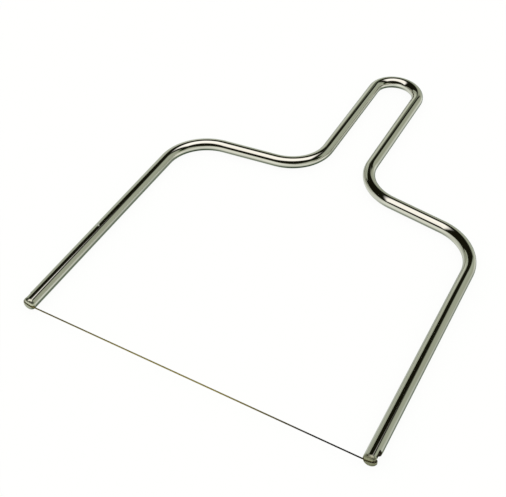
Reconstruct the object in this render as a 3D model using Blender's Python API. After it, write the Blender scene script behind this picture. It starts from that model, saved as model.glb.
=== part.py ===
"""Wire cheese cutter: one bent round bar, whose loop is the handle, and a taut cutting wire.

The cutter lies flat, +Z up. X runs along the wire, Y from the wire to the handle.
The origin is on the surface that the cutter lies on, under the middle of its outline.
Lengths are in metres.
"""
import math

import bmesh
import bpy
from mathutils import Matrix, Vector

MM = 0.001

# Bar, measured to its axis. Heights run up from the cutting wire.
BAR_DIAMETER = 8.0 * MM
ARM_SPACING = 208.0 * MM
SHOULDER_HEIGHT = 174.5 * MM        # corner where the lines of arm and shoulder meet
SHOULDER_RISE = 12.0 * MM           # from that corner to the one below the handle
HANDLE_SPACING = 32.3 * MM
HANDLE_HEIGHT = 307.5 * MM
SHOULDER_BEND_RADIUS = 31.0 * MM
NECK_BEND_RADIUS = 29.0 * MM

# Ends of the bar
END_COVER = 0.2 * MM                # bar below the wire's underside
RIM_ROUND = 1.5 * MM
SLOT_CLIMB_DEGREES = 14.0           # slot's rise from the bar's inner side to its outer side
SLOT_CHAMFER = 0.8 * MM             # eases the wire round the slot's outer corner
RECESS_HEIGHT = 0.8 * MM            # foot of the flat ground into the outer side
RECESS_RAMP = 1.4 * MM              # from its foot up to its deepest line
RECESS_DEPTH = 0.7 * MM
RECESS_LENGTH = 8.5 * MM            # from its deepest line to where it runs out
NOTCH_HEIGHT = 2.1 * MM             # shoulder that the sleeve pulls on
NOTCH_DEPTH = 1.6 * MM

# Cutting wire and its crimped sleeves
WIRE_DIAMETER = 0.8 * MM
WIRE_BEND_RADIUS = 1.8 * MM         # where the tail turns up, to the wire's axis
TAIL_PROUD = 0.4 * MM               # cut end of the tail past the sleeve
SLEEVE_DIAMETER = 2.0 * MM
SLEEVE_LENGTH = 3.3 * MM
SLEEVE_CHAMFER = 0.25 * MM
SLEEVE_SINK = 0.8 * MM              # sleeve's outer side below the bar's, along the slot

# Clearances
SEAT_GAP = 0.3 * MM
CRIMP_GAP = 0.15 * MM
NOTCH_SPARE = 0.9 * MM              # room above the tail's cut end
CUT_OVERRUN = 2.0 * MM

# Facets
BAR_SIDES = 32
WIRE_SIDES = 12
SLEEVE_SIDES = 24
RIM_STEPS = 3
BEND_STEP_DEGREES = 7.5
TAIL_BEND_STEPS = 4
SHARP_EDGE_DEGREES = 30.0

bar_radius = BAR_DIAMETER / 2
wire_radius = WIRE_DIAMETER / 2
sleeve_radius = SLEEVE_DIAMETER / 2
arm_x = ARM_SPACING / 2
outer_x = arm_x + bar_radius
mouth_x = arm_x - bar_radius        # where the wire enters its slots and starts to climb
end_depth = wire_radius + END_COVER
climb = math.radians(SLOT_CLIMB_DEGREES)
tail_run = bar_radius * math.cos(climb) + bar_radius - SLEEVE_SINK - sleeve_radius
tail_x = mouth_x + tail_run * math.cos(climb)
tail_z = tail_run * math.sin(climb)
slot_half = wire_radius + SEAT_GAP
sleeve_foot = NOTCH_HEIGHT + SEAT_GAP
tail_top = sleeve_foot + SLEEVE_LENGTH + TAIL_PROUD


def clear_scene():
    for thing in list(bpy.data.objects):
        bpy.data.objects.remove(thing, do_unlink=True)


def metal(name, color, roughness):
    """A bare or plated metal surface."""
    surface = bpy.data.materials.new(name)
    surface.use_nodes = True
    shader = surface.node_tree.nodes["Principled BSDF"]
    shader.inputs["Base Color"].default_value = (*color, 1.0)
    shader.inputs["Metallic"].default_value = 1.0
    shader.inputs["Roughness"].default_value = roughness
    return surface


def place(name, mesh, parent, location=(0, 0, 0), rotation=(0, 0, 0), material=None):
    """Link a mesh as an object under the cutter's empty."""
    piece = bpy.data.objects.new(name, mesh)
    bpy.context.collection.objects.link(piece)
    piece.parent = parent
    piece.location = location
    piece.rotation_euler = rotation
    if material:
        mesh.materials.append(material)
        mesh.shade_smooth()
        mesh.set_sharp_from_angle(angle=math.radians(SHARP_EDGE_DEGREES))
    return piece


def to_mesh(name, form):
    """Close a bmesh into a mesh whose faces point outwards."""
    bmesh.ops.recalc_face_normals(form, faces=form.faces)
    mesh = bpy.data.meshes.new(name)
    form.to_mesh(mesh)
    form.free()
    return mesh


def section(form, start, heading, diameter, sides):
    """The round section as a ring of edges, with flats facing up, down and to both sides."""
    ring_radius = diameter / 2 / math.cos(math.pi / sides)
    across = Vector((heading.y, -heading.x, 0))
    ring = []
    for step in range(sides):
        angle = math.tau * (step + 0.5) / sides
        offset = across * math.cos(angle) + Vector((0, 0, 1)) * math.sin(angle)
        ring.append(form.verts.new(start + offset * ring_radius))
    return [form.edges.new((ring[i], ring[(i + 1) % sides])) for i in range(sides)]


def bend_to_program(start, heading, program, diameter, sides):
    """Feed and bend a round bar in the XY plane.

    Each line of the program is a straight feed, a bend to the left in radians (negative to the
    right), the bend's radius and its number of steps. A bend of zero only feeds.
    """
    form = bmesh.new()
    position = Vector(start)
    heading = Vector(heading)
    ring = section(form, position, heading, diameter, sides)
    end_rings = [ring]
    for feed, turn, radius, steps in program:
        extruded = bmesh.ops.extrude_edge_only(form, edges=ring)["geom"]
        corners = [item for item in extruded if isinstance(item, bmesh.types.BMVert)]
        bmesh.ops.translate(form, verts=corners, vec=heading * feed)
        ring = [item for item in extruded if isinstance(item, bmesh.types.BMEdge)]
        position += heading * feed
        if turn:
            left = Vector((-heading.y, heading.x, 0))
            center = position + left * math.copysign(radius, turn)
            bent = bmesh.ops.spin(form, geom=ring + corners, cent=center, axis=(0, 0, 1),
                                  angle=turn, steps=steps, use_merge=False)["geom_last"]
            ring = [item for item in bent if isinstance(item, bmesh.types.BMEdge)]
            rotation = Matrix.Rotation(turn, 3, "Z")
            position = center + rotation @ (position - center)
            heading = rotation @ heading
    end_rings.append(ring)
    for ring in end_rings:
        bmesh.ops.edgeloop_fill(form, edges=ring)
    return form


def bend_steps(turn):
    return max(2, round(abs(math.degrees(turn)) / BEND_STEP_DEGREES))


def frame_bar_mesh():
    """One length of bar: arm, shoulder, handle leg, loop, and the same back down."""
    slope = math.atan2(SHOULDER_RISE, arm_x - HANDLE_SPACING / 2)
    turn = math.pi / 2 - slope
    shoulder_tangent = SHOULDER_BEND_RADIUS * math.tan(turn / 2)
    neck_tangent = NECK_BEND_RADIUS * math.tan(turn / 2)
    loop_radius = HANDLE_SPACING / 2

    arm = end_depth + SHOULDER_HEIGHT - shoulder_tangent
    shoulder = SHOULDER_RISE / math.sin(slope) - shoulder_tangent - neck_tangent
    leg = HANDLE_HEIGHT - loop_radius - SHOULDER_HEIGHT - SHOULDER_RISE - neck_tangent

    steps = bend_steps(turn)
    program = [
        (arm, turn, SHOULDER_BEND_RADIUS, steps),
        (shoulder, -turn, NECK_BEND_RADIUS, steps),
        (leg, math.pi, loop_radius, bend_steps(math.pi)),
        (leg, -turn, NECK_BEND_RADIUS, steps),
        (shoulder, turn, SHOULDER_BEND_RADIUS, steps),
        (arm, 0, 0, 0),
    ]
    form = bend_to_program((arm_x, -end_depth, 0), (0, 1, 0), program, BAR_DIAMETER, BAR_SIDES)
    caps = [face for face in form.faces if len(face.verts) == BAR_SIDES]
    rims = [edge for cap in caps for edge in cap.edges]
    bmesh.ops.bevel(form, geom=rims, offset=RIM_ROUND, segments=RIM_STEPS, profile=0.5,
                    affect="EDGES")
    return to_mesh("frame_bar", form)


def cutting_wire_mesh():
    """The wire: up-turned tail, climb in the slot, span along X, and the same at the other end."""
    turn = math.pi / 2
    tail = tail_top - WIRE_BEND_RADIUS
    in_slot = tail_run - WIRE_BEND_RADIUS
    program = [
        (tail, turn, WIRE_BEND_RADIUS, TAIL_BEND_STEPS),
        (in_slot, 0, 0, 0),
        (2 * mouth_x, 0, 0, 0),
        (in_slot, turn, WIRE_BEND_RADIUS, TAIL_BEND_STEPS),
        (tail, 0, 0, 0),
    ]
    start = (-mouth_x - tail_run, tail_top, 0)
    form = bend_to_program(start, (0, -1, 0), program, WIRE_DIAMETER, WIRE_SIDES)
    for side in (-1, 1):
        past = [(vert, side * vert.co.x - mouth_x) for vert in form.verts]
        mouth = [vert for vert, distance in past if abs(distance) <= wire_radius]
        climbing = [vert for vert, distance in past if distance > wire_radius]
        for verts, angle in ((mouth, climb / 2), (climbing, climb)):
            bmesh.ops.rotate(form, verts=verts, cent=(side * mouth_x, 0, 0),
                             matrix=Matrix.Rotation(-side * angle, 3, "Y"))
    return to_mesh("cutting_wire", form)


def sleeve_mesh():
    """A short tube on the Z axis, from zero up, with its outer rims chamfered."""
    bore = wire_radius + CRIMP_GAP
    profile = [
        (bore, 0),
        (sleeve_radius - SLEEVE_CHAMFER, 0),
        (sleeve_radius, SLEEVE_CHAMFER),
        (sleeve_radius, SLEEVE_LENGTH - SLEEVE_CHAMFER),
        (sleeve_radius - SLEEVE_CHAMFER, SLEEVE_LENGTH),
        (bore, SLEEVE_LENGTH),
    ]
    form = bmesh.new()
    outline = [form.verts.new((radius, 0, height)) for radius, height in profile]
    edges = [form.edges.new((outline[i - 1], outline[i])) for i in range(len(outline))]
    bmesh.ops.spin(form, geom=outline + edges, cent=(0, 0, 0), axis=(0, 0, 1),
                   angle=math.tau, steps=SLEEVE_SIDES, use_merge=True)
    return to_mesh("crimp_sleeve", form)


def prism_mesh(name, outline, low_z, high_z):
    """An XY outline drawn up from one height to another."""
    form = bmesh.new()
    floor = form.faces.new([form.verts.new((x, y, low_z)) for x, y in outline])
    raised = bmesh.ops.extrude_face_region(form, geom=[floor])["geom"]
    lifted = [item for item in raised if isinstance(item, bmesh.types.BMVert)]
    bmesh.ops.translate(form, verts=lifted, vec=(0, 0, high_z - low_z))
    return to_mesh(name, form)


def cylinder_mesh(name, radius, length, sides):
    """A cylinder on the Z axis, from zero up."""
    form = bmesh.new()
    bmesh.ops.create_cone(form, cap_ends=True, segments=sides, radius1=radius, radius2=radius,
                          depth=length, matrix=Matrix.Translation((0, 0, length / 2)))
    return to_mesh(name, form)


def cut(target, cutter):
    """Take the cutter's shape out of the target."""
    cutter.display_type = "WIRE"
    cutter.hide_render = True
    boolean = target.modifiers.new(cutter.name, "BOOLEAN")
    boolean.operation = "DIFFERENCE"
    boolean.solver = "EXACT"
    boolean.object = cutter


def cut_wire_seat(bar, cutter_parent, side, name):
    """Slot, tail groove, ground recess and sleeve notch in one end of the bar.

    Outlines run outwards from the slot's mouth. Those of slot and groove climb with the wire.
    """
    below = -end_depth - CUT_OVERRUN
    across = bar_radius + CUT_OVERRUN
    surface = 2 * bar_radius
    clear = surface + CUT_OVERRUN
    slot = [(-CUT_OVERRUN, below), (clear, below), (clear, slot_half), (-CUT_OVERRUN, slot_half)]

    groove_wall = tail_run - slot_half
    groove_top = NOTCH_HEIGHT + SEAT_GAP
    groove = [(groove_wall - SLOT_CHAMFER, below), (clear, below), (clear, groove_top),
              (groove_wall, groove_top), (groove_wall, slot_half + SLOT_CHAMFER),
              (groove_wall - SLOT_CHAMFER, slot_half)]

    ramp = RECESS_RAMP / RECESS_DEPTH
    slant = RECESS_DEPTH / RECESS_LENGTH
    deepest = RECESS_HEIGHT + RECESS_RAMP
    recess_top = deepest + RECESS_LENGTH + CUT_OVERRUN
    recess = [(surface - RECESS_DEPTH, deepest), (clear, RECESS_HEIGHT - ramp * CUT_OVERRUN),
              (clear, recess_top), (surface + slant * CUT_OVERRUN, recess_top)]

    notch_wall = surface - NOTCH_DEPTH
    notch_top = tail_top + NOTCH_SPARE
    notch = [(notch_wall, NOTCH_HEIGHT), (clear, NOTCH_HEIGHT), (clear, notch_top),
             (notch_wall, notch_top)]

    cuts = (("slot", slot, slot_half, climb), ("groove", groove, slot_half, climb),
            ("recess", recess, across, 0), ("notch", notch, across, 0))
    for label, outline, half_width, rise in cuts:
        mirrored = [(side * x, y) for x, y in outline]
        mesh = prism_mesh(f"{label}_cutter", mirrored, -half_width, half_width)
        cut(bar, place(f"{name}_{label}_cutter", mesh, cutter_parent,
                       location=(side * mouth_x, 0, 0), rotation=(0, -side * rise, 0)))

    mesh = cylinder_mesh("bed_cutter", sleeve_radius + SEAT_GAP, notch_top - NOTCH_HEIGHT,
                         SLEEVE_SIDES)
    cut(bar, place(f"{name}_bed_cutter", mesh, cutter_parent,
                   location=(side * tail_x, NOTCH_HEIGHT, tail_z),
                   rotation=(-math.pi / 2, 0, 0)))


def build():
    clear_scene()
    plated_steel = metal("polished_nickel_plate", (0.66, 0.64, 0.58), 0.12)
    drawn_steel = metal("drawn_stainless_wire", (0.56, 0.54, 0.47), 0.30)
    crimped_steel = metal("crimped_plated_sleeve", (0.45, 0.42, 0.36), 0.35)

    cutter = bpy.data.objects.new("cheese_cutter", None)
    bpy.context.collection.objects.link(cutter)
    outline_middle = (HANDLE_HEIGHT + bar_radius - end_depth) / 2
    cutter.location = (0, -outline_middle, bar_radius)

    bar = place("frame_bar", frame_bar_mesh(), cutter, material=plated_steel)
    place("cutting_wire", cutting_wire_mesh(), cutter, material=drawn_steel)
    for side, name in ((-1, "left"), (1, "right")):
        place(f"{name}_crimp_sleeve", sleeve_mesh(), cutter,
              location=(side * tail_x, sleeve_foot, tail_z), rotation=(-math.pi / 2, 0, 0),
              material=crimped_steel)
        cut_wire_seat(bar, cutter, side, name)


build()
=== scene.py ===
import math

import bmesh
import bpy
from mathutils import Matrix, Vector


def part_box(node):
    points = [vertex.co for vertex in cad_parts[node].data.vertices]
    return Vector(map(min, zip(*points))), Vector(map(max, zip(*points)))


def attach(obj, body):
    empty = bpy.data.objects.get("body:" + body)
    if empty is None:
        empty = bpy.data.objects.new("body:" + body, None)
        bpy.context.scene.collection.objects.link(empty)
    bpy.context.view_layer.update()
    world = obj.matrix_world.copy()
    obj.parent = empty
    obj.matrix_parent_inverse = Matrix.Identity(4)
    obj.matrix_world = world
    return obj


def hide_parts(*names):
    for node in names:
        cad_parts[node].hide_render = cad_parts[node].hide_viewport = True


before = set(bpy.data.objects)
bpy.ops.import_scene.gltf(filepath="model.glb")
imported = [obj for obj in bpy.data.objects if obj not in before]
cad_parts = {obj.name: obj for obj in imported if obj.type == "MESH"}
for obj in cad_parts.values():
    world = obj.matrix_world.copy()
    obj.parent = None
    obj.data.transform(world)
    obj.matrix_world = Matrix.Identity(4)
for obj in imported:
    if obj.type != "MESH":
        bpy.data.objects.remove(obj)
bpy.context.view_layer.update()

# CAMERA
# The cutter is seen from above its front right corner, as a small product is photographed on a
# table. X runs along the cutting wire, Y from the wire to the handle, and +Z is up. The frame
# of the picture is 506 x 497.

camera = bpy.data.objects.new("camera", bpy.data.cameras.new("camera"))
bpy.context.scene.collection.objects.link(camera)
camera.data.sensor_width = 36.0
camera.data.lens = 68.54
camera.data.clip_start = 0.01
CAMERA_TILT = math.radians(44.821)
CAMERA_ROLL = math.radians(-2.127)
CAMERA_TURN = math.radians(27.931)
camera.location = (0.16205, -0.42052, 0.41439)
camera.rotation_euler = (CAMERA_TILT, CAMERA_ROLL, CAMERA_TURN)
bpy.context.scene.camera = camera
bpy.context.scene.view_settings.view_transform = "Standard"

# STUDIO
# White paper on a table in a large room with pale, unevenly lit walls. A softbox hangs over it
# from a dark ceiling. The polished bar mirrors all of them, and an even white surround shades
# the rest.


def add(tree, kind, inputs=None, **settings):
    """Add a node, set its properties, and set or link its inputs."""
    made = tree.nodes.new(kind)
    for key, value in settings.items():
        setattr(made, key, value)
    for key, value in (inputs or {}).items():
        if isinstance(value, bpy.types.NodeSocket):
            tree.links.new(value, made.inputs[key])
        else:
            made.inputs[key].default_value = value
    return made


def linear(hex_color):
    """An sRGB hex colour as linear RGBA."""
    shares = [int(hex_color[i:i + 2], 16) / 255 for i in (1, 3, 5)]
    return [c / 12.92 if c <= 0.04045 else ((c + 0.055) / 1.055) ** 2.4 for c in shares] + [1.0]


world = bpy.data.worlds.new("studio")
bpy.context.scene.world = world
world.use_nodes = True
# Rays meet the surround but never aim at it, so that satin metal too mirrors the room
world.cycles.sampling_method = "NONE"
room = world.node_tree
room.nodes.clear()

# The paper's light below the horizon and the walls' above it, with a soft line between them
PAPER_LIGHT = (0.45, 0.50, 0.45, 1.0)
WALL_LIGHT = (0.47, 0.52, 0.43, 1.0)
DARKEST = (0.005, 0.005, 0.005)
HORIZON_SOFTNESS = 0.03
look = add(room, "ShaderNodeTexCoord").outputs["Generated"]
height = add(room, "ShaderNodeSeparateXYZ", {0: look}).outputs["Z"]
above_table = add(room, "ShaderNodeMapRange",
                  {"Value": height, "From Min": -HORIZON_SOFTNESS,
                   "From Max": HORIZON_SOFTNESS}).outputs["Result"]
seen = add(room, "ShaderNodeMix", {0: above_table, 6: PAPER_LIGHT, 7: WALL_LIGHT},
           data_type="RGBA").outputs[2]

# Where walls and paper are lighter or darker than that, in soft round patches. Each has its
# azimuth from +X towards +Y, its angle from overhead and its radius, in degrees, and the light
# that it adds or takes away in its middle.
PATCHES = {
    "front, lit": (-80, 105, 65, 0.55),
    "front left, lit": (-135, 105, 60, 0.40),
    "right, lit": (-15, 115, 50, 0.50),
    "back right, lit": (20, 105, 30, 0.55),
    "back right corner, lit": (60, 100, 25, 0.50),
    "back left corner, lit": (125, 80, 30, 0.25),
    "paper on the left, lit": (160, 140, 50, 0.60),
    "paper close behind, lit": (90, 145, 40, 0.40),
    "paper far behind, shaded": (100, 130, 35, -0.30),
    "paper underneath, shaded": (65, 165, 75, -0.60),
    "top of the back wall, shaded": (110, 62, 12, -0.40),
    "top of the right wall, shaded": (0, 65, 20, -1.00),
}
for azimuth, polar, radius, strength in PATCHES.values():
    out = math.sin(math.radians(polar))
    middle = (out * math.cos(math.radians(azimuth)), out * math.sin(math.radians(azimuth)),
              math.cos(math.radians(polar)))
    nearness = add(room, "ShaderNodeVectorMath", {0: look, 1: middle}, operation="DOT_PRODUCT")
    away = add(room, "ShaderNodeMath", {0: nearness.outputs["Value"]}, operation="ARCCOSINE")
    fade = add(room, "ShaderNodeMapRange",
               {"Value": away.outputs[0], "From Min": math.radians(radius), "From Max": 0.0},
               interpolation_type="SMOOTHSTEP")
    seen = add(room, "ShaderNodeVectorMath",
               {0: fade.outputs["Result"], 1: (strength, strength, strength), 2: seen},
               operation="MULTIPLY_ADD").outputs[0]
walls = add(room, "ShaderNodeVectorMath", {0: seen, 1: DARKEST}, operation="MAXIMUM").outputs[0]

# What hangs overhead. Corners are in metres from the middle for each metre up, counterclockwise
# as seen from above, and the softness of the edge is the sine of its angle. The gap shows the
# wall behind it.
DARK = (0.01, 0.01, 0.005)
BRIGHT = (1.5, 1.5, 1.5)
PANELS = {
    "dark beam": ([(-0.55, 0.85), (0.0, 0.55), (0.8, 2.3), (-0.2, 1.3)], 0.06, DARK),
    "dark ceiling": ([(-6.5, 1.4), (-4.0, -7.5), (6.0, -7.0), (3.1, -0.85), (-0.4, 1.4)], 0.075,
                     DARK),
    "gap in the ceiling": ([(-3.6, 1.15), (-2.7, 0.4), (-1.7, 0.6), (-0.9, 1.2), (-1.15, 1.45)],
                           0.01, None),
    "softbox": ([(-0.3, 0.3), (-1.05, -1.65), (0.8, 0.0), (0.2, 0.65)], 0.08, BRIGHT),
}
seen = walls
for corners, softness, color in PANELS.values():
    rays = [Vector((x, y, 1.0)) for x, y in corners]
    inside = None
    for ray, following in zip(rays, rays[1:] + rays[:1]):
        edge = ray.cross(following).normalized()
        depth = add(room, "ShaderNodeVectorMath", {0: look, 1: edge},
                    operation="DOT_PRODUCT").outputs["Value"]
        inside = depth if inside is None else add(
            room, "ShaderNodeMath", {0: inside, 1: depth}, operation="MINIMUM").outputs[0]
    mask = add(room, "ShaderNodeMapRange", {"Value": inside, "From Min": -softness,
                                            "From Max": softness},
               interpolation_type="SMOOTHSTEP").outputs["Result"]
    seen = add(room, "ShaderNodeMix", {0: mask, 6: seen, 7: (*color, 1.0) if color else walls},
               data_type="RGBA").outputs[2]

# Mirror rays see the room. Everything else is lit by an even white surround.
light_path = add(room, "ShaderNodeLightPath")
even = add(room, "ShaderNodeBackground", {"Color": (1, 1, 1, 1), "Strength": 1.0})
mirrored = add(room, "ShaderNodeBackground", {"Color": seen, "Strength": 1.0})
surround = add(room, "ShaderNodeMixShader", {0: light_path.outputs["Is Glossy Ray"],
                                             1: even.outputs[0], 2: mirrored.outputs[0]})
add(room, "ShaderNodeOutputWorld", {"Surface": surround.outputs[0]})

# White paper, matt. The camera sees it mostly as plain white, with a trace of the part's shadow,
# and mirror rays pass through it to the room's own light from below.
WHITE_STRENGTH = 1.06
WHITE_SHARE = 0.88
FLOOR_HALF = 4.0
paper = bpy.data.materials.new("white_paper")
paper.use_nodes = True
leaf = paper.node_tree
leaf.nodes.clear()
matt = add(leaf, "ShaderNodeBsdfDiffuse", {"Color": linear("#c6c9ba")})
lit = add(leaf, "ShaderNodeEmission", {"Color": (1, 1, 1, 1), "Strength": WHITE_STRENGTH})
paper_path = add(leaf, "ShaderNodeLightPath")
whiten = add(leaf, "ShaderNodeMath", {0: paper_path.outputs["Is Camera Ray"], 1: WHITE_SHARE},
             operation="MULTIPLY")
paper_face = add(leaf, "ShaderNodeMixShader",
                 {0: whiten.outputs[0], 1: matt.outputs[0], 2: lit.outputs[0]})
unseen = add(leaf, "ShaderNodeBsdfTransparent")
paper_or_room = add(leaf, "ShaderNodeMixShader", {0: paper_path.outputs["Is Glossy Ray"],
                                                  1: paper_face.outputs[0],
                                                  2: unseen.outputs[0]})
add(leaf, "ShaderNodeOutputMaterial", {"Surface": paper_or_room.outputs[0]})

sheet = bmesh.new()
bmesh.ops.create_grid(sheet, x_segments=1, y_segments=1, size=FLOOR_HALF)
floor = bpy.data.objects.new("floor", bpy.data.meshes.new("floor"))
sheet.to_mesh(floor.data)
sheet.free()
floor.data.materials.append(paper)
bpy.context.scene.collection.objects.link(floor)

# FRAME BAR
# One length of 8 mm round steel bar, bent cold into both arms, both shoulders and the handle
# loop, with its two ends turned to a round rim. It is polished after bending and then nickel
# plated, so it is mirror bright, with faint lines along it.

MM = 0.001
WIRE_FROM_END = 0.6 * MM
bar_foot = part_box("frame_bar")[0].y
wire_y = bar_foot + WIRE_FROM_END
BAR = {
    "Bar diameter": 8.0 * MM,
    "Arm spacing": 208.0 * MM,
    "Handle spacing": 32.3 * MM,
    "End level": bar_foot,
    "Shoulder level": wire_y + 174.5 * MM,
    "Neck level": wire_y + 186.5 * MM,
    "Loop level": wire_y + 307.5 * MM,
    "Shoulder radius": 31.0 * MM,
    "Neck radius": 29.0 * MM,
    "Rim round": 2.1 * MM,
    "Worked length": 15.0 * MM,
    "Ring spacing": 1.5 * MM,
    "Scuff depth": 0.03 * MM,
    "Scuff radius": 1.6 * MM,
    "Scuff distance": 70.9 * MM,
}
BAR_SIDES = 72
BEND_STEPS = 90
CLOSE_RINGS = 11
# The scuff is where a slanting, drawn out ball meets the plate. Its middle lies outwards and up
# from the arm's axis, and the bar's rings are closer within its reach.
SCUFF_OUT = 1.0 * MM
SCUFF_UP = 3.87 * MM
SCUFF_REACH = 4.0 * MM
SCUFF_SLANT = math.radians(38.0)
SCUFF_SQUEEZE = (0.55, 1.25, 0.55)


def new_metal(name):
    """A metal material, with its node tree and its shader."""
    metal = bpy.data.materials.new(name)
    metal.use_nodes = True
    shader = metal.node_tree.nodes["Principled BSDF"]
    shader.inputs["Metallic"].default_value = 1.0
    return metal, metal.node_tree, shader


def sized_tree(name, sizes, others):
    """A Geometry Nodes tree with a length input for each size, and the others by socket type."""
    tree = bpy.data.node_groups.new(name, "GeometryNodeTree")
    tree.interface.new_socket("Geometry", in_out="INPUT", socket_type="NodeSocketGeometry")
    tree.interface.new_socket("Geometry", in_out="OUTPUT", socket_type="NodeSocketGeometry")
    for given, kind in {**dict.fromkeys(sizes, "NodeSocketFloat"), **others}.items():
        tree.interface.new_socket(given, in_out="INPUT", socket_type=kind)
    return tree, add(tree, "NodeGroupInput").outputs


def bent_line(tree, corners, steps):
    """A line through the left side's corners and back through their mirror images, with bends.
    A corner is its distance from the middle, its level along Y, its height and bend radius."""
    index = add(tree, "GeometryNodeInputIndex").outputs[0]
    spots = add(tree, "GeometryNodeIndexSwitch", {"Index": index}, data_type="VECTOR")
    bends = add(tree, "GeometryNodeIndexSwitch", {"Index": index}, data_type="FLOAT")
    for switch in (spots, bends):
        while len(switch.index_switch_items) < 2 * len(corners):
            switch.index_switch_items.new()
    for place, (across, level, height, bend) in enumerate(corners):
        for item, sign in ((place, -1.0), (2 * len(corners) - 1 - place, 1.0)):
            sided = add(tree, "ShaderNodeMath", {0: across, 1: sign}, operation="MULTIPLY")
            spot = add(tree, "ShaderNodeCombineXYZ",
                       {"X": sided.outputs[0], "Y": level, "Z": height})
            tree.links.new(spot.outputs[0], spots.inputs[item + 1])
            if bend:
                tree.links.new(bend, bends.inputs[item + 1])
    line = add(tree, "GeometryNodeMeshLine", {"Count": 2 * len(corners), "Offset": (0, MM, 0)})
    laid = add(tree, "GeometryNodeSetPosition",
               {"Geometry": line.outputs[0], "Position": spots.outputs[0]})
    path = add(tree, "GeometryNodeMeshToCurve", {"Mesh": laid.outputs[0]})
    return add(tree, "GeometryNodeFilletCurve",
               {"Curve": path.outputs[0], "Count": steps, "Radius": bends.outputs[0],
                "Limit Radius": True}, mode="POLY")


def end_tree(tree, shape, metal):
    """Shade the shape smooth, make it real, give it its metal and put it out."""
    smooth = add(tree, "GeometryNodeSetShadeSmooth", {"Geometry": shape})
    real = add(tree, "GeometryNodeRealizeInstances", {"Geometry": smooth.outputs[0]})
    covered = add(tree, "GeometryNodeSetMaterial",
                  {"Geometry": real.outputs[0], "Material": metal})
    add(tree, "NodeGroupOutput", {0: covered.outputs[0]})


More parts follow.
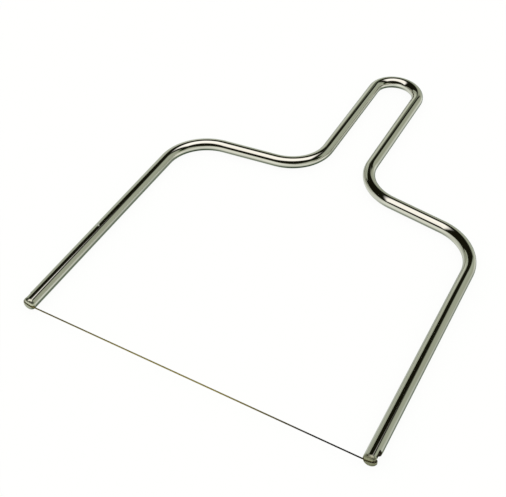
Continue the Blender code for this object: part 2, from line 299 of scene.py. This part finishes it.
def bent_bar_tree():
    """The outline from arm to arm, swept with the round section, its ends rimmed, scuffed."""
    tree, size = sized_tree("bent round bar", BAR,
                            {"Sides": "NodeSocketInt", "Metal": "NodeSocketMaterial"})
    arm, leg, radius = (
        add(tree, "ShaderNodeMath", {0: size[name], 1: 0.5}, operation="MULTIPLY").outputs[0]
        for name in ("Arm spacing", "Handle spacing", "Bar diameter"))
    corners = [(arm, size["End level"], radius, None),
               (arm, size["Shoulder level"], radius, size["Shoulder radius"]),
               (leg, size["Neck level"], radius, size["Neck radius"]),
               (leg, size["Loop level"], radius, leg)]
    bent = bent_line(tree, corners, BEND_STEPS)
    even_rings = add(tree, "GeometryNodeResampleCurve",
                     {"Curve": bent.outputs[0], "Length": size["Ring spacing"]}, mode="LENGTH")

    # Closer rings where the ends are worked and round the scuff
    along = add(tree, "GeometryNodeSplineParameter").outputs["Length"]
    whole = add(tree, "GeometryNodeSplineLength").outputs["Length"]
    ahead = add(tree, "ShaderNodeMath", {0: whole, 1: along}, operation="SUBTRACT").outputs[0]
    to_end = add(tree, "ShaderNodeMath", {0: along, 1: ahead}, operation="MINIMUM").outputs[0]
    near_end = add(tree, "ShaderNodeMath", {0: to_end, 1: size["Worked length"]},
                   operation="LESS_THAN")
    near_scuff = add(tree, "ShaderNodeMath",
                     {0: along, 1: size["Scuff distance"], 2: SCUFF_REACH}, operation="COMPARE")
    close = add(tree, "ShaderNodeMath", {0: near_end.outputs[0], 1: near_scuff.outputs[0]},
                operation="MAXIMUM")
    cuts = add(tree, "ShaderNodeMath", {0: close.outputs[0], 1: float(CLOSE_RINGS)},
               operation="MULTIPLY")
    rings = add(tree, "GeometryNodeSubdivideCurve",
                {"Curve": even_rings.outputs[0], "Cuts": cuts.outputs[0]})

    # The round rim: the last rings draw together and shrink on a quarter circle
    rim = size["Rim round"]
    into_rim = add(tree, "ShaderNodeMath", {0: to_end, 1: rim}, operation="DIVIDE")
    share = add(tree, "ShaderNodeMath", {0: into_rim.outputs[0], 1: 1.0}, operation="MINIMUM")
    angle = add(tree, "ShaderNodeMath", {0: share.outputs[0], 1: math.pi / 2},
                operation="MULTIPLY").outputs[0]
    rise = add(tree, "ShaderNodeMath", {0: angle}, operation="SINE")
    fall = add(tree, "ShaderNodeMath", {0: angle}, operation="COSINE")
    kept_share = add(tree, "ShaderNodeMath", {0: 1.0, 1: share.outputs[0]}, operation="SUBTRACT")
    drawn = add(tree, "ShaderNodeMath", {0: kept_share.outputs[0], 1: fall.outputs[0]},
                operation="SUBTRACT")
    drawn_in = add(tree, "ShaderNodeMath", {0: drawn.outputs[0], 1: rim}, operation="MULTIPLY")
    half_way = add(tree, "ShaderNodeMath", {0: ahead, 1: along}, operation="SUBTRACT")
    side = add(tree, "ShaderNodeMath", {0: half_way.outputs[0]}, operation="SIGN")
    pull = add(tree, "ShaderNodeMath", {0: drawn_in.outputs[0], 1: side.outputs[0]},
               operation="MULTIPLY")
    tangent = add(tree, "GeometryNodeInputTangent").outputs[0]
    shift = add(tree, "ShaderNodeVectorMath", {0: tangent, "Scale": pull.outputs[0]},
                operation="SCALE")
    short = add(tree, "ShaderNodeMath", {0: 1.0, 1: rise.outputs[0]}, operation="SUBTRACT")
    shrink = add(tree, "ShaderNodeMath", {0: short.outputs[0], 1: rim}, operation="MULTIPLY")
    shrunk = add(tree, "ShaderNodeMath", {0: shrink.outputs[0], 1: radius}, operation="DIVIDE")
    scale = add(tree, "ShaderNodeMath", {0: 1.0, 1: shrunk.outputs[0]}, operation="SUBTRACT")
    kept = add(tree, "GeometryNodeCaptureAttribute", {"Geometry": rings.outputs[0]})
    for name, value in (("along", along), ("scale", scale.outputs[0]), ("from_end", to_end)):
        kept.capture_items.new("FLOAT", name)
        tree.links.new(value, kept.inputs[name])
    rimmed = add(tree, "GeometryNodeSetPosition",
                 {"Geometry": kept.outputs["Geometry"], "Offset": shift.outputs[0]})
    level = add(tree, "GeometryNodeSetCurveNormal", {"Curve": rimmed.outputs[0]}, mode="Z_UP")

    # The round section, and where each point was on the bar while it was straight
    place = add(tree, "GeometryNodeInputPosition").outputs[0]
    section = add(tree, "GeometryNodeCurvePrimitiveCircle",
                  {"Resolution": size["Sides"], "Radius": radius})
    around = add(tree, "GeometryNodeCaptureAttribute", {"Geometry": section.outputs[0]})
    around.capture_items.new("VECTOR", "section")
    tree.links.new(place, around.inputs["section"])
    swept = add(tree, "GeometryNodeCurveToMesh",
                {"Curve": level.outputs[0], "Profile Curve": around.outputs["Geometry"],
                 "Scale": kept.outputs["scale"], "Fill Caps": True})
    flat = add(tree, "ShaderNodeSeparateXYZ", {0: around.outputs["section"]})
    straight = add(tree, "ShaderNodeCombineXYZ", {"X": flat.outputs["X"], "Y": flat.outputs["Y"],
                                                  "Z": kept.outputs["along"]})
    stored = add(tree, "GeometryNodeStoreNamedAttribute",
                 {"Geometry": swept.outputs[0], "Name": "straight_bar",
                  "Value": straight.outputs[0]}, data_type="FLOAT_VECTOR")
    marked = add(tree, "GeometryNodeStoreNamedAttribute",
                 {"Geometry": stored.outputs[0], "Name": "from_end",
                  "Value": kept.outputs["from_end"]})

    # The scuff, a shallow knock slanting across the top of the left arm
    knock_x = add(tree, "ShaderNodeMath", {0: arm, 1: -1.0, 2: -SCUFF_OUT},
                  operation="MULTIPLY_ADD")
    knock_y = add(tree, "ShaderNodeMath", {0: size["End level"], 1: size["Scuff distance"]},
                  operation="ADD")
    knock_z = add(tree, "ShaderNodeMath", {0: radius, 1: SCUFF_UP}, operation="ADD")
    knock = add(tree, "ShaderNodeCombineXYZ", {"X": knock_x.outputs[0], "Y": knock_y.outputs[0],
                                               "Z": knock_z.outputs[0]})
    from_knock = add(tree, "ShaderNodeVectorMath", {0: place, 1: knock.outputs[0]},
                     operation="SUBTRACT")
    slanting = add(tree, "ShaderNodeVectorRotate",
                   {"Vector": from_knock.outputs[0], "Angle": SCUFF_SLANT},
                   rotation_type="Z_AXIS")
    narrowed = add(tree, "ShaderNodeVectorMath", {0: slanting.outputs[0], 1: SCUFF_SQUEEZE},
                   operation="MULTIPLY")
    away = add(tree, "ShaderNodeVectorMath", {0: narrowed.outputs[0]},
               operation="LENGTH").outputs["Value"]
    rubbed = add(tree, "ShaderNodeMapRange",
                 {"Value": away, "From Max": size["Scuff radius"], "To Min": 1.0, "To Max": 0.0},
                 interpolation_type="SMOOTHSTEP").outputs["Result"]
    dent = add(tree, "ShaderNodeMath", {0: rubbed, 1: size["Scuff depth"]}, operation="MULTIPLY")
    inwards = add(tree, "ShaderNodeMath", {0: dent.outputs[0], 1: -1.0}, operation="MULTIPLY")
    normal = add(tree, "GeometryNodeInputNormal").outputs[0]
    knocked = add(tree, "ShaderNodeVectorMath", {0: normal, "Scale": inwards.outputs[0]},
                  operation="SCALE")
    scuffed = add(tree, "GeometryNodeStoreNamedAttribute",
                  {"Geometry": marked.outputs[0], "Name": "scuff", "Value": rubbed})
    pressed_in = add(tree, "GeometryNodeSetPosition",
                     {"Geometry": scuffed.outputs[0], "Offset": knocked.outputs[0]})
    end_tree(tree, pressed_in.outputs[0], size["Metal"])
    return tree


def keep_result(piece):
    """Replace a piece's mesh by what its modifiers make of it, and remove them."""
    bpy.context.view_layer.update()
    evaluated = piece.evaluated_get(bpy.context.evaluated_depsgraph_get())
    mesh = bpy.data.meshes.new_from_object(evaluated)
    piece.modifiers.clear()
    piece.data = mesh
    mesh.name = piece.name


def baked(name, tree, settings):
    """Run a tree with its named inputs set, and keep the result as a plain mesh object."""
    piece = bpy.data.objects.new(name, bpy.data.meshes.new(name))
    bpy.context.scene.collection.objects.link(piece)
    modifier = piece.modifiers.new("tree", "NODES")
    modifier.node_group = tree
    for item in tree.interface.items_tree:
        if item.in_out == "INPUT" and item.name in settings:
            modifier[item.identifier] = settings[item.name]
    keep_result(piece)
    return piece


nickel, plate, shader = new_metal("polished_nickel_plate")
bar = baked("polished_frame_bar", bent_bar_tree(),
            {**BAR, "Sides": BAR_SIDES, "Metal": nickel})

# Nickel plate, polished: a warm grey mirror. The polishing wheel leaves faint lines along the
# bar, and handling a soft haze. The real lines are finer than a pixel, so they are drawn 1.1 mm
# apart. The wheel doesn't reach into the ends, where the plate stays satin and olive grey,
# duller at the right one. The scuff has lost its polish, and its near white colour is a painted
# highlight.
LINE_SPACING = 1.11 * MM
LINE_LENGTH = 83.0 * MM
HAZE_SIZE = 22.2 * MM
SATIN_FROM, SATIN_TO = 3.2 * MM, 1.2 * MM
LEFT_DULLNESS, RIGHT_DULLNESS, SCUFF_DULLNESS = 0.2, 0.45, 0.55
LINE_DEPTH = 0.004 * MM
on_bar = add(plate, "ShaderNodeAttribute", attribute_name="straight_bar").outputs["Vector"]
drawn_out = add(plate, "ShaderNodeMapping",
                {"Vector": on_bar,
                 "Scale": (1 / LINE_SPACING, 1 / LINE_SPACING, 1 / LINE_LENGTH)})
lines = add(plate, "ShaderNodeTexNoise", {"Vector": drawn_out.outputs[0], "Scale": 1.0,
                                          "Detail": 3.0, "Roughness": 0.6})
haze = add(plate, "ShaderNodeTexNoise", {"Vector": on_bar, "Scale": 1 / HAZE_SIZE,
                                         "Detail": 3.0, "Roughness": 0.55})
hazy = add(plate, "ShaderNodeMapRange", {"Value": haze.outputs["Fac"], "From Min": 0.35,
                                         "From Max": 0.7, "To Min": 0.03, "To Max": 0.07})
rough = add(plate, "ShaderNodeMath", {0: lines.outputs["Fac"], 1: 0.03, 2: hazy.outputs[0]},
            operation="MULTIPLY_ADD")
from_end = add(plate, "ShaderNodeAttribute", attribute_name="from_end").outputs["Fac"]
satin = add(plate, "ShaderNodeMapRange",
            {"Value": from_end, "From Min": SATIN_FROM, "From Max": SATIN_TO},
            interpolation_type="SMOOTHSTEP").outputs["Result"]
place = add(plate, "ShaderNodeTexCoord").outputs["Object"]
across = add(plate, "ShaderNodeSeparateXYZ", {0: place}).outputs["X"]
to_right = add(plate, "ShaderNodeMath", {0: across, 1: 0.0}, operation="GREATER_THAN")
dullness = add(plate, "ShaderNodeMath",
               {0: to_right.outputs[0], 1: RIGHT_DULLNESS - LEFT_DULLNESS, 2: LEFT_DULLNESS},
               operation="MULTIPLY_ADD")
finish = add(plate, "ShaderNodeMath", {0: satin, 1: dullness.outputs[0], 2: rough.outputs[0]},
             operation="MULTIPLY_ADD")
on_scuff = add(plate, "ShaderNodeAttribute", attribute_name="scuff").outputs["Fac"]
scuff = add(plate, "ShaderNodeMapRange", {"Value": on_scuff, "From Min": 0.15,
                                          "From Max": 0.5}).outputs["Result"]
scratched = add(plate, "ShaderNodeMath", {0: scuff, 1: SCUFF_DULLNESS, 2: finish.outputs[0]},
                operation="MULTIPLY_ADD")
plate.links.new(scratched.outputs[0], shader.inputs["Roughness"])
streak = add(plate, "ShaderNodeMapRange", {"Value": lines.outputs["Fac"], "From Min": 0.35,
                                           "From Max": 0.65})
warm = add(plate, "ShaderNodeMix", {0: streak.outputs["Result"], 6: linear("#dbd8ce"),
                                    7: linear("#cdc8bb")}, data_type="RGBA")
end_color = add(plate, "ShaderNodeMix", {0: to_right.outputs[0], 6: linear("#c2c0ac"),
                                         7: linear("#a5a388")}, data_type="RGBA")
ended = add(plate, "ShaderNodeMix", {0: satin, 6: warm.outputs[2], 7: end_color.outputs[2]},
            data_type="RGBA")
# The scuff: a real dent with lost polish, coloured near white as a painted highlight
scuff_with_painted_glint = add(plate, "ShaderNodeMix", {0: scuff, 6: ended.outputs[2],
                                             7: linear("#f2f0ea")}, data_type="RGBA")
plate.links.new(scuff_with_painted_glint.outputs[2], shader.inputs["Base Color"])
grain = add(plate, "ShaderNodeBump", {"Height": lines.outputs["Fac"], "Strength": 0.2,
                                      "Distance": LINE_DEPTH})
plate.links.new(grain.outputs[0], shader.inputs["Normal"])

# WIRE SEATS
# Each end of the bar is worked for the wire: a slot sawn across the end face, climbing to the
# outer side, a groove on up that side, a flat ground into it, and a milled notch with a bed
# for the sleeve. Slot, groove, notch and bed are bare, tarnished steel, with painted shade
# up in the notch.

AXIS_Z = 4.0 * MM
MOUTH_X = 100.0 * MM
CLIMB = math.radians(14.0)
ARM_FROM_MOUTH = 4.0 * MM
TAIL_FROM_AXIS = 2.2 * MM
TAIL_RUN = ARM_FROM_MOUTH * math.cos(CLIMB) + TAIL_FROM_AXIS
TAIL_X = MOUTH_X + TAIL_RUN * math.cos(CLIMB)
TAIL_Z = AXIS_Z + TAIL_RUN * math.sin(CLIMB)
# Each cut: its name, half its width across the bar in millimetres, its climb, and its outline in
# millimetres from the slot's mouth, outwards and up the bar
SEATS = (
    ("slot", 0.7, CLIMB, [(-2.0, -3.0), (10.0, -3.0), (10.0, 0.7), (-2.0, 0.7)]),
    ("groove", 0.7, CLIMB, [(4.58, -3.0), (10.0, -3.0), (10.0, 2.4), (5.38, 2.4), (5.38, 1.5),
                            (4.58, 0.7)]),
    ("ground flat", 6.0, 0.0, [(7.3, 2.2), (10.0, -3.2), (10.0, 12.7), (8.165, 12.7)]),
    ("notch", 6.0, 0.0, [(6.4, 2.1), (10.0, 2.1), (10.0, 7.0), (6.4, 7.0)]),
)
BED_RADIUS = 1.3 * MM
BED_LENGTH = 4.9 * MM
BED_MIDDLE = 4.55 * MM
BED_SIDES = 48
BAR_SHARP_ANGLE = math.radians(32)

# Bare steel, sawn and tarnished: dull and mottled olive grey. Up in the notch and its bed it is
# darkened to an almost black brown, which is painted shade.
STAIN_SIZE = 1.11 * MM
NOTCH_SHADE_FROM, NOTCH_SHADE_TO = wire_y + 1.2 * MM, wire_y + 2.2 * MM
bare, sawn, shader = new_metal("sawn_tarnished_steel")
where = add(sawn, "ShaderNodeTexCoord").outputs["Object"]
stains = add(sawn, "ShaderNodeTexNoise", {"Vector": where, "Scale": 1 / STAIN_SIZE,
                                           "Detail": 4.0})
tarnished = add(sawn, "ShaderNodeMix", {0: stains.outputs["Fac"], 6: linear("#c2bca2"),
                                        7: linear("#8f876b")}, data_type="RGBA")
up_bar = add(sawn, "ShaderNodeSeparateXYZ", {0: where}).outputs["Y"]
# Painted shade: from this level up the bar, into the notch and its bed, the steel turns almost
# black
notch_shade = add(sawn, "ShaderNodeMapRange",
               {"Value": up_bar, "From Min": NOTCH_SHADE_FROM, "From Max": NOTCH_SHADE_TO},
               interpolation_type="SMOOTHSTEP")
tarnish_and_notch_shade = add(sawn, "ShaderNodeMix", {0: notch_shade.outputs[0], 6: tarnished.outputs[2],
                                      7: linear("#3d3123")}, data_type="RGBA")
sawn.links.new(tarnish_and_notch_shade.outputs[2], shader.inputs["Base Color"])
dulled = add(sawn, "ShaderNodeMapRange", {"Value": stains.outputs["Fac"], "To Min": 0.35,
                                          "To Max": 0.6})
sawn.links.new(dulled.outputs[0], shader.inputs["Roughness"])


def mill(form, name, side, rise, surface):
    """Take a cutter's shape out of the bar's end. It is given from the slot's mouth outwards,
    climbs by the rise, and leaves its own surface on what it cuts."""
    form.transform(Matrix.Translation((side * MOUTH_X, wire_y, AXIS_Z))
                   @ Matrix.Rotation(-side * rise, 4, "Y"))
    bmesh.ops.recalc_face_normals(form, faces=form.faces)
    cutter = bpy.data.objects.new(name, bpy.data.meshes.new(name))
    form.to_mesh(cutter.data)
    form.free()
    cutter.data.materials.append(surface)
    bpy.context.scene.collection.objects.link(cutter)
    cut = bar.modifiers.new(name, "BOOLEAN")
    cut.operation = "DIFFERENCE"
    cut.solver = "EXACT"
    cut.material_mode = "TRANSFER"
    cut.object = cutter
    keep_result(bar)
    bpy.data.objects.remove(cutter)


for side in (-1, 1):
    for name, half, rise, outline in SEATS:
        form = bmesh.new()
        face = form.faces.new([form.verts.new((side * x * MM, y * MM, -half * MM))
                               for x, y in outline])
        raised = bmesh.ops.extrude_face_region(form, geom=[face])["geom"]
        bmesh.ops.translate(form, vec=(0, 0, 2 * half * MM),
                            verts=[v for v in raised if isinstance(v, bmesh.types.BMVert)])
        mill(form, name, side, rise, nickel if name == "ground flat" else bare)
    form = bmesh.new()
    laid_along_bar = (Matrix.Translation((side * TAIL_RUN, BED_MIDDLE, 0))
                      @ Matrix.Rotation(math.pi / 2, 4, "X"))
    bmesh.ops.create_cone(form, cap_ends=True, segments=BED_SIDES, radius1=BED_RADIUS,
                          radius2=BED_RADIUS, depth=BED_LENGTH, matrix=laid_along_bar)
    mill(form, "bed", side, CLIMB, bare)
bar.data.set_sharp_from_angle(angle=BAR_SHARP_ANGLE)
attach(bar, "root")
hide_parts("frame_bar")

# CUTTING WIRE
# Hard drawn stainless steel wire, 0.8 mm thick, pulled taut between the arms. Each end climbs
# through its slot, turns up the outer side of the bar and is cut off above its sleeve.

WIRE = {
    "Wire diameter": 0.8 * MM,
    "Mouth spacing": 2 * MOUTH_X,
    "Tail spacing": 2 * TAIL_X,
    "Span level": wire_y,
    "Tail level": wire_y + 6.1 * MM,
    "Span height": AXIS_Z,
    "Tail height": TAIL_Z,
    "Mouth radius": 2.0 * MM,
    "Tail radius": 1.8 * MM,
}
TURN_STEPS = 12
WIRE_CUTS = 6
WIRE_SIDES = 24
WIRE_SHARP_ANGLE = math.radians(40)


def taut_wire_tree():
    """A span with two climbing, turned up tails, rounded at the turns and swept with a circle."""
    tree, size = sized_tree("taut wire", WIRE, {"Metal": "NodeSocketMaterial"})
    tail, mouth, radius = (
        add(tree, "ShaderNodeMath", {0: size[name], 1: 0.5}, operation="MULTIPLY").outputs[0]
        for name in ("Tail spacing", "Mouth spacing", "Wire diameter"))
    corners = [(tail, size["Tail level"], size["Tail height"], None),
               (tail, size["Span level"], size["Tail height"], size["Tail radius"]),
               (mouth, size["Span level"], size["Span height"], size["Mouth radius"])]
    bent = bent_line(tree, corners, TURN_STEPS)
    rings = add(tree, "GeometryNodeSubdivideCurve", {"Curve": bent.outputs[0], "Cuts": WIRE_CUTS})
    level = add(tree, "GeometryNodeSetCurveNormal", {"Curve": rings.outputs[0]}, mode="Z_UP")
    section = add(tree, "GeometryNodeCurvePrimitiveCircle",
                  {"Resolution": WIRE_SIDES, "Radius": radius})
    swept = add(tree, "GeometryNodeCurveToMesh",
                {"Curve": level.outputs[0], "Profile Curve": section.outputs[0],
                 "Fill Caps": True})
    end_tree(tree, swept.outputs[0], size["Metal"])
    return tree


steel, drawing, shader = new_metal("drawn_stainless_wire")
wire = baked("drawn_cutting_wire", taut_wire_tree(), {**WIRE, "Metal": steel})
wire.data.set_sharp_from_angle(angle=WIRE_SHARP_ANGLE)

# Drawn stainless steel: satin, yellowish grey, and streaked along its length by the die, in
# streaks drawn 0.25 mm apart, since the real ones are finer. It is darker towards both arms,
# most towards the right one, and less so again in the right one's slot.
STREAK_SPACING = 0.25 * MM
STREAK_LENGTH = 16.7 * MM
RIGHT_DARK_FROM, RIGHT_DARK_TO = 10.0 * MM, 76.0 * MM
LEFT_DARK_FROM, LEFT_DARK_TO = -40.0 * MM, -85.0 * MM
IN_SLOT, BEFORE_SLOT = 101.0 * MM, 99.5 * MM
LEFT_DARKNESS, SLOT_DARKNESS = 0.45, 0.6
where = add(drawing, "ShaderNodeTexCoord").outputs["Object"]
streaked = add(drawing, "ShaderNodeMapping",
               {"Vector": where,
                "Scale": (1 / STREAK_LENGTH, 1 / STREAK_SPACING, 1 / STREAK_SPACING)})
streaks = add(drawing, "ShaderNodeTexNoise", {"Vector": streaked.outputs[0], "Scale": 1.0,
                                              "Detail": 2.0})
dull = add(drawing, "ShaderNodeMapRange", {"Value": streaks.outputs["Fac"], "From Min": 0.3,
                                           "From Max": 0.7, "To Min": 0.12, "To Max": 0.24})
drawing.links.new(dull.outputs[0], shader.inputs["Roughness"])
tone = add(drawing, "ShaderNodeMix", {0: streaks.outputs["Fac"], 6: linear("#877b3c"),
                                      7: linear("#a4964a")}, data_type="RGBA")
across = add(drawing, "ShaderNodeSeparateXYZ", {0: where}).outputs["X"]
to_right = add(drawing, "ShaderNodeMapRange",
               {"Value": across, "From Min": RIGHT_DARK_FROM, "From Max": RIGHT_DARK_TO},
               interpolation_type="SMOOTHSTEP")
to_left = add(drawing, "ShaderNodeMapRange",
              {"Value": across, "From Min": LEFT_DARK_FROM, "From Max": LEFT_DARK_TO,
               "To Max": LEFT_DARKNESS}, interpolation_type="SMOOTHSTEP")
outside = add(drawing, "ShaderNodeMapRange",
              {"Value": across, "From Min": IN_SLOT, "From Max": BEFORE_SLOT,
               "To Min": SLOT_DARKNESS})
right_darkening = add(drawing, "ShaderNodeMath", {0: to_right.outputs[0], 1: outside.outputs[0]},
              operation="MULTIPLY")
darkening = add(drawing, "ShaderNodeMath", {0: right_darkening.outputs[0], 1: to_left.outputs[0]},
           operation="ADD")
darkened_tone = add(drawing, "ShaderNodeMix", {0: darkening.outputs[0], 6: tone.outputs[2],
                                      7: linear("#1f1b12")}, data_type="RGBA")
drawing.links.new(darkened_tone.outputs[2], shader.inputs["Base Color"])
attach(wire, "root")
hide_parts("cutting_wire")

# CRIMP SLEEVES
# A short tube of soft steel on each tail of the wire, squeezed by a crimping tool until it
# grips. It lies in its bed and bears on the notch's shoulder, which holds the wire's pull.

SLEEVE_RADIUS = 1.0 * MM
SLEEVE_FOOT = wire_y + 2.4 * MM
SLEEVE_LENGTH = 3.3 * MM
SLEEVE_EDGE = 0.22 * MM
SLEEVE_BORE = 0.42 * MM
JAW_HALF = 0.75 * MM
JAW_DEPTH = 0.16 * MM
JAWS = 6
BETWEEN_JAWS = 0.35
SLEEVE_SIDES = 48
SLEEVE_RINGS = 26
SLEEVE_SHARP_ANGLE = math.radians(40)
MOTTLE_SIZE = 0.714 * MM

# Crimped steel: dull and mottled dark brown, almost black, with a few bare grey places where the
# jaws rubbed
ferrule, pressed, shader = new_metal("crimped_steel_sleeve")
where = add(pressed, "ShaderNodeTexCoord").outputs["Object"]
mottle = add(pressed, "ShaderNodeTexNoise", {"Vector": where, "Scale": 1 / MOTTLE_SIZE,
                                              "Detail": 4.0})
dark_mottle = add(pressed, "ShaderNodeMapRange", {"Value": mottle.outputs["Fac"], "From Min": 0.35,
                                              "From Max": 0.55})
brown = add(pressed, "ShaderNodeMix", {0: dark_mottle.outputs[0], 6: linear("#574c40"),
                                       7: linear("#2a1e14")}, data_type="RGBA")
pressed.links.new(brown.outputs[2], shader.inputs["Base Color"])
matted = add(pressed, "ShaderNodeMapRange", {"Value": mottle.outputs["Fac"], "To Min": 0.28,
                                             "To Max": 0.55})
pressed.links.new(matted.outputs[0], shader.inputs["Roughness"])


def crimped_sleeve(name, x):
    """A tube along Y with rolled rims, and six jaw marks pressed round its middle."""
    profile = []
    for step in range(SLEEVE_RINGS + 1):
        level = SLEEVE_LENGTH * step / SLEEVE_RINGS
        to_rim = min(level, SLEEVE_LENGTH - level)
        left = max(0.0, SLEEVE_EDGE - to_rim)
        rolled = SLEEVE_EDGE - math.sqrt(SLEEVE_EDGE ** 2 - left ** 2)
        from_jaw = abs(level - SLEEVE_LENGTH / 2) / JAW_HALF
        profile.append((level, SLEEVE_RADIUS - rolled, max(0.0, 1.0 - from_jaw ** 4)))
    profile += [(SLEEVE_LENGTH, SLEEVE_BORE, 0.0), (0.0, SLEEVE_BORE, 0.0)]
    form = bmesh.new()
    rings = []
    for level, radius, press in profile:
        ring = []
        for step in range(SLEEVE_SIDES):
            turn = math.tau * step / SLEEVE_SIDES
            jaw = BETWEEN_JAWS + (1 - BETWEEN_JAWS) * (0.5 + 0.5 * math.cos(JAWS * turn))
            out = radius - JAW_DEPTH * press * jaw
            ring.append(form.verts.new((x + out * math.cos(turn), SLEEVE_FOOT + level,
                                        TAIL_Z + out * math.sin(turn))))
        rings.append(ring)
    for ring, following in zip(rings, rings[1:] + rings[:1]):
        for k in range(SLEEVE_SIDES):
            n = (k + 1) % SLEEVE_SIDES
            form.faces.new((ring[k], ring[n], following[n], following[k]))
    bmesh.ops.recalc_face_normals(form, faces=form.faces)
    sleeve = bpy.data.objects.new(name, bpy.data.meshes.new(name))
    form.to_mesh(sleeve.data)
    form.free()
    sleeve.data.materials.append(ferrule)
    sleeve.data.shade_smooth()
    sleeve.data.set_sharp_from_angle(angle=SLEEVE_SHARP_ANGLE)
    bpy.context.scene.collection.objects.link(sleeve)
    return sleeve


for side, name in ((-1, "left"), (1, "right")):
    sleeve = crimped_sleeve(f"pressed_{name}_sleeve", side * TAIL_X)
    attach(sleeve, "root")
    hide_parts(f"{name}_crimp_sleeve")
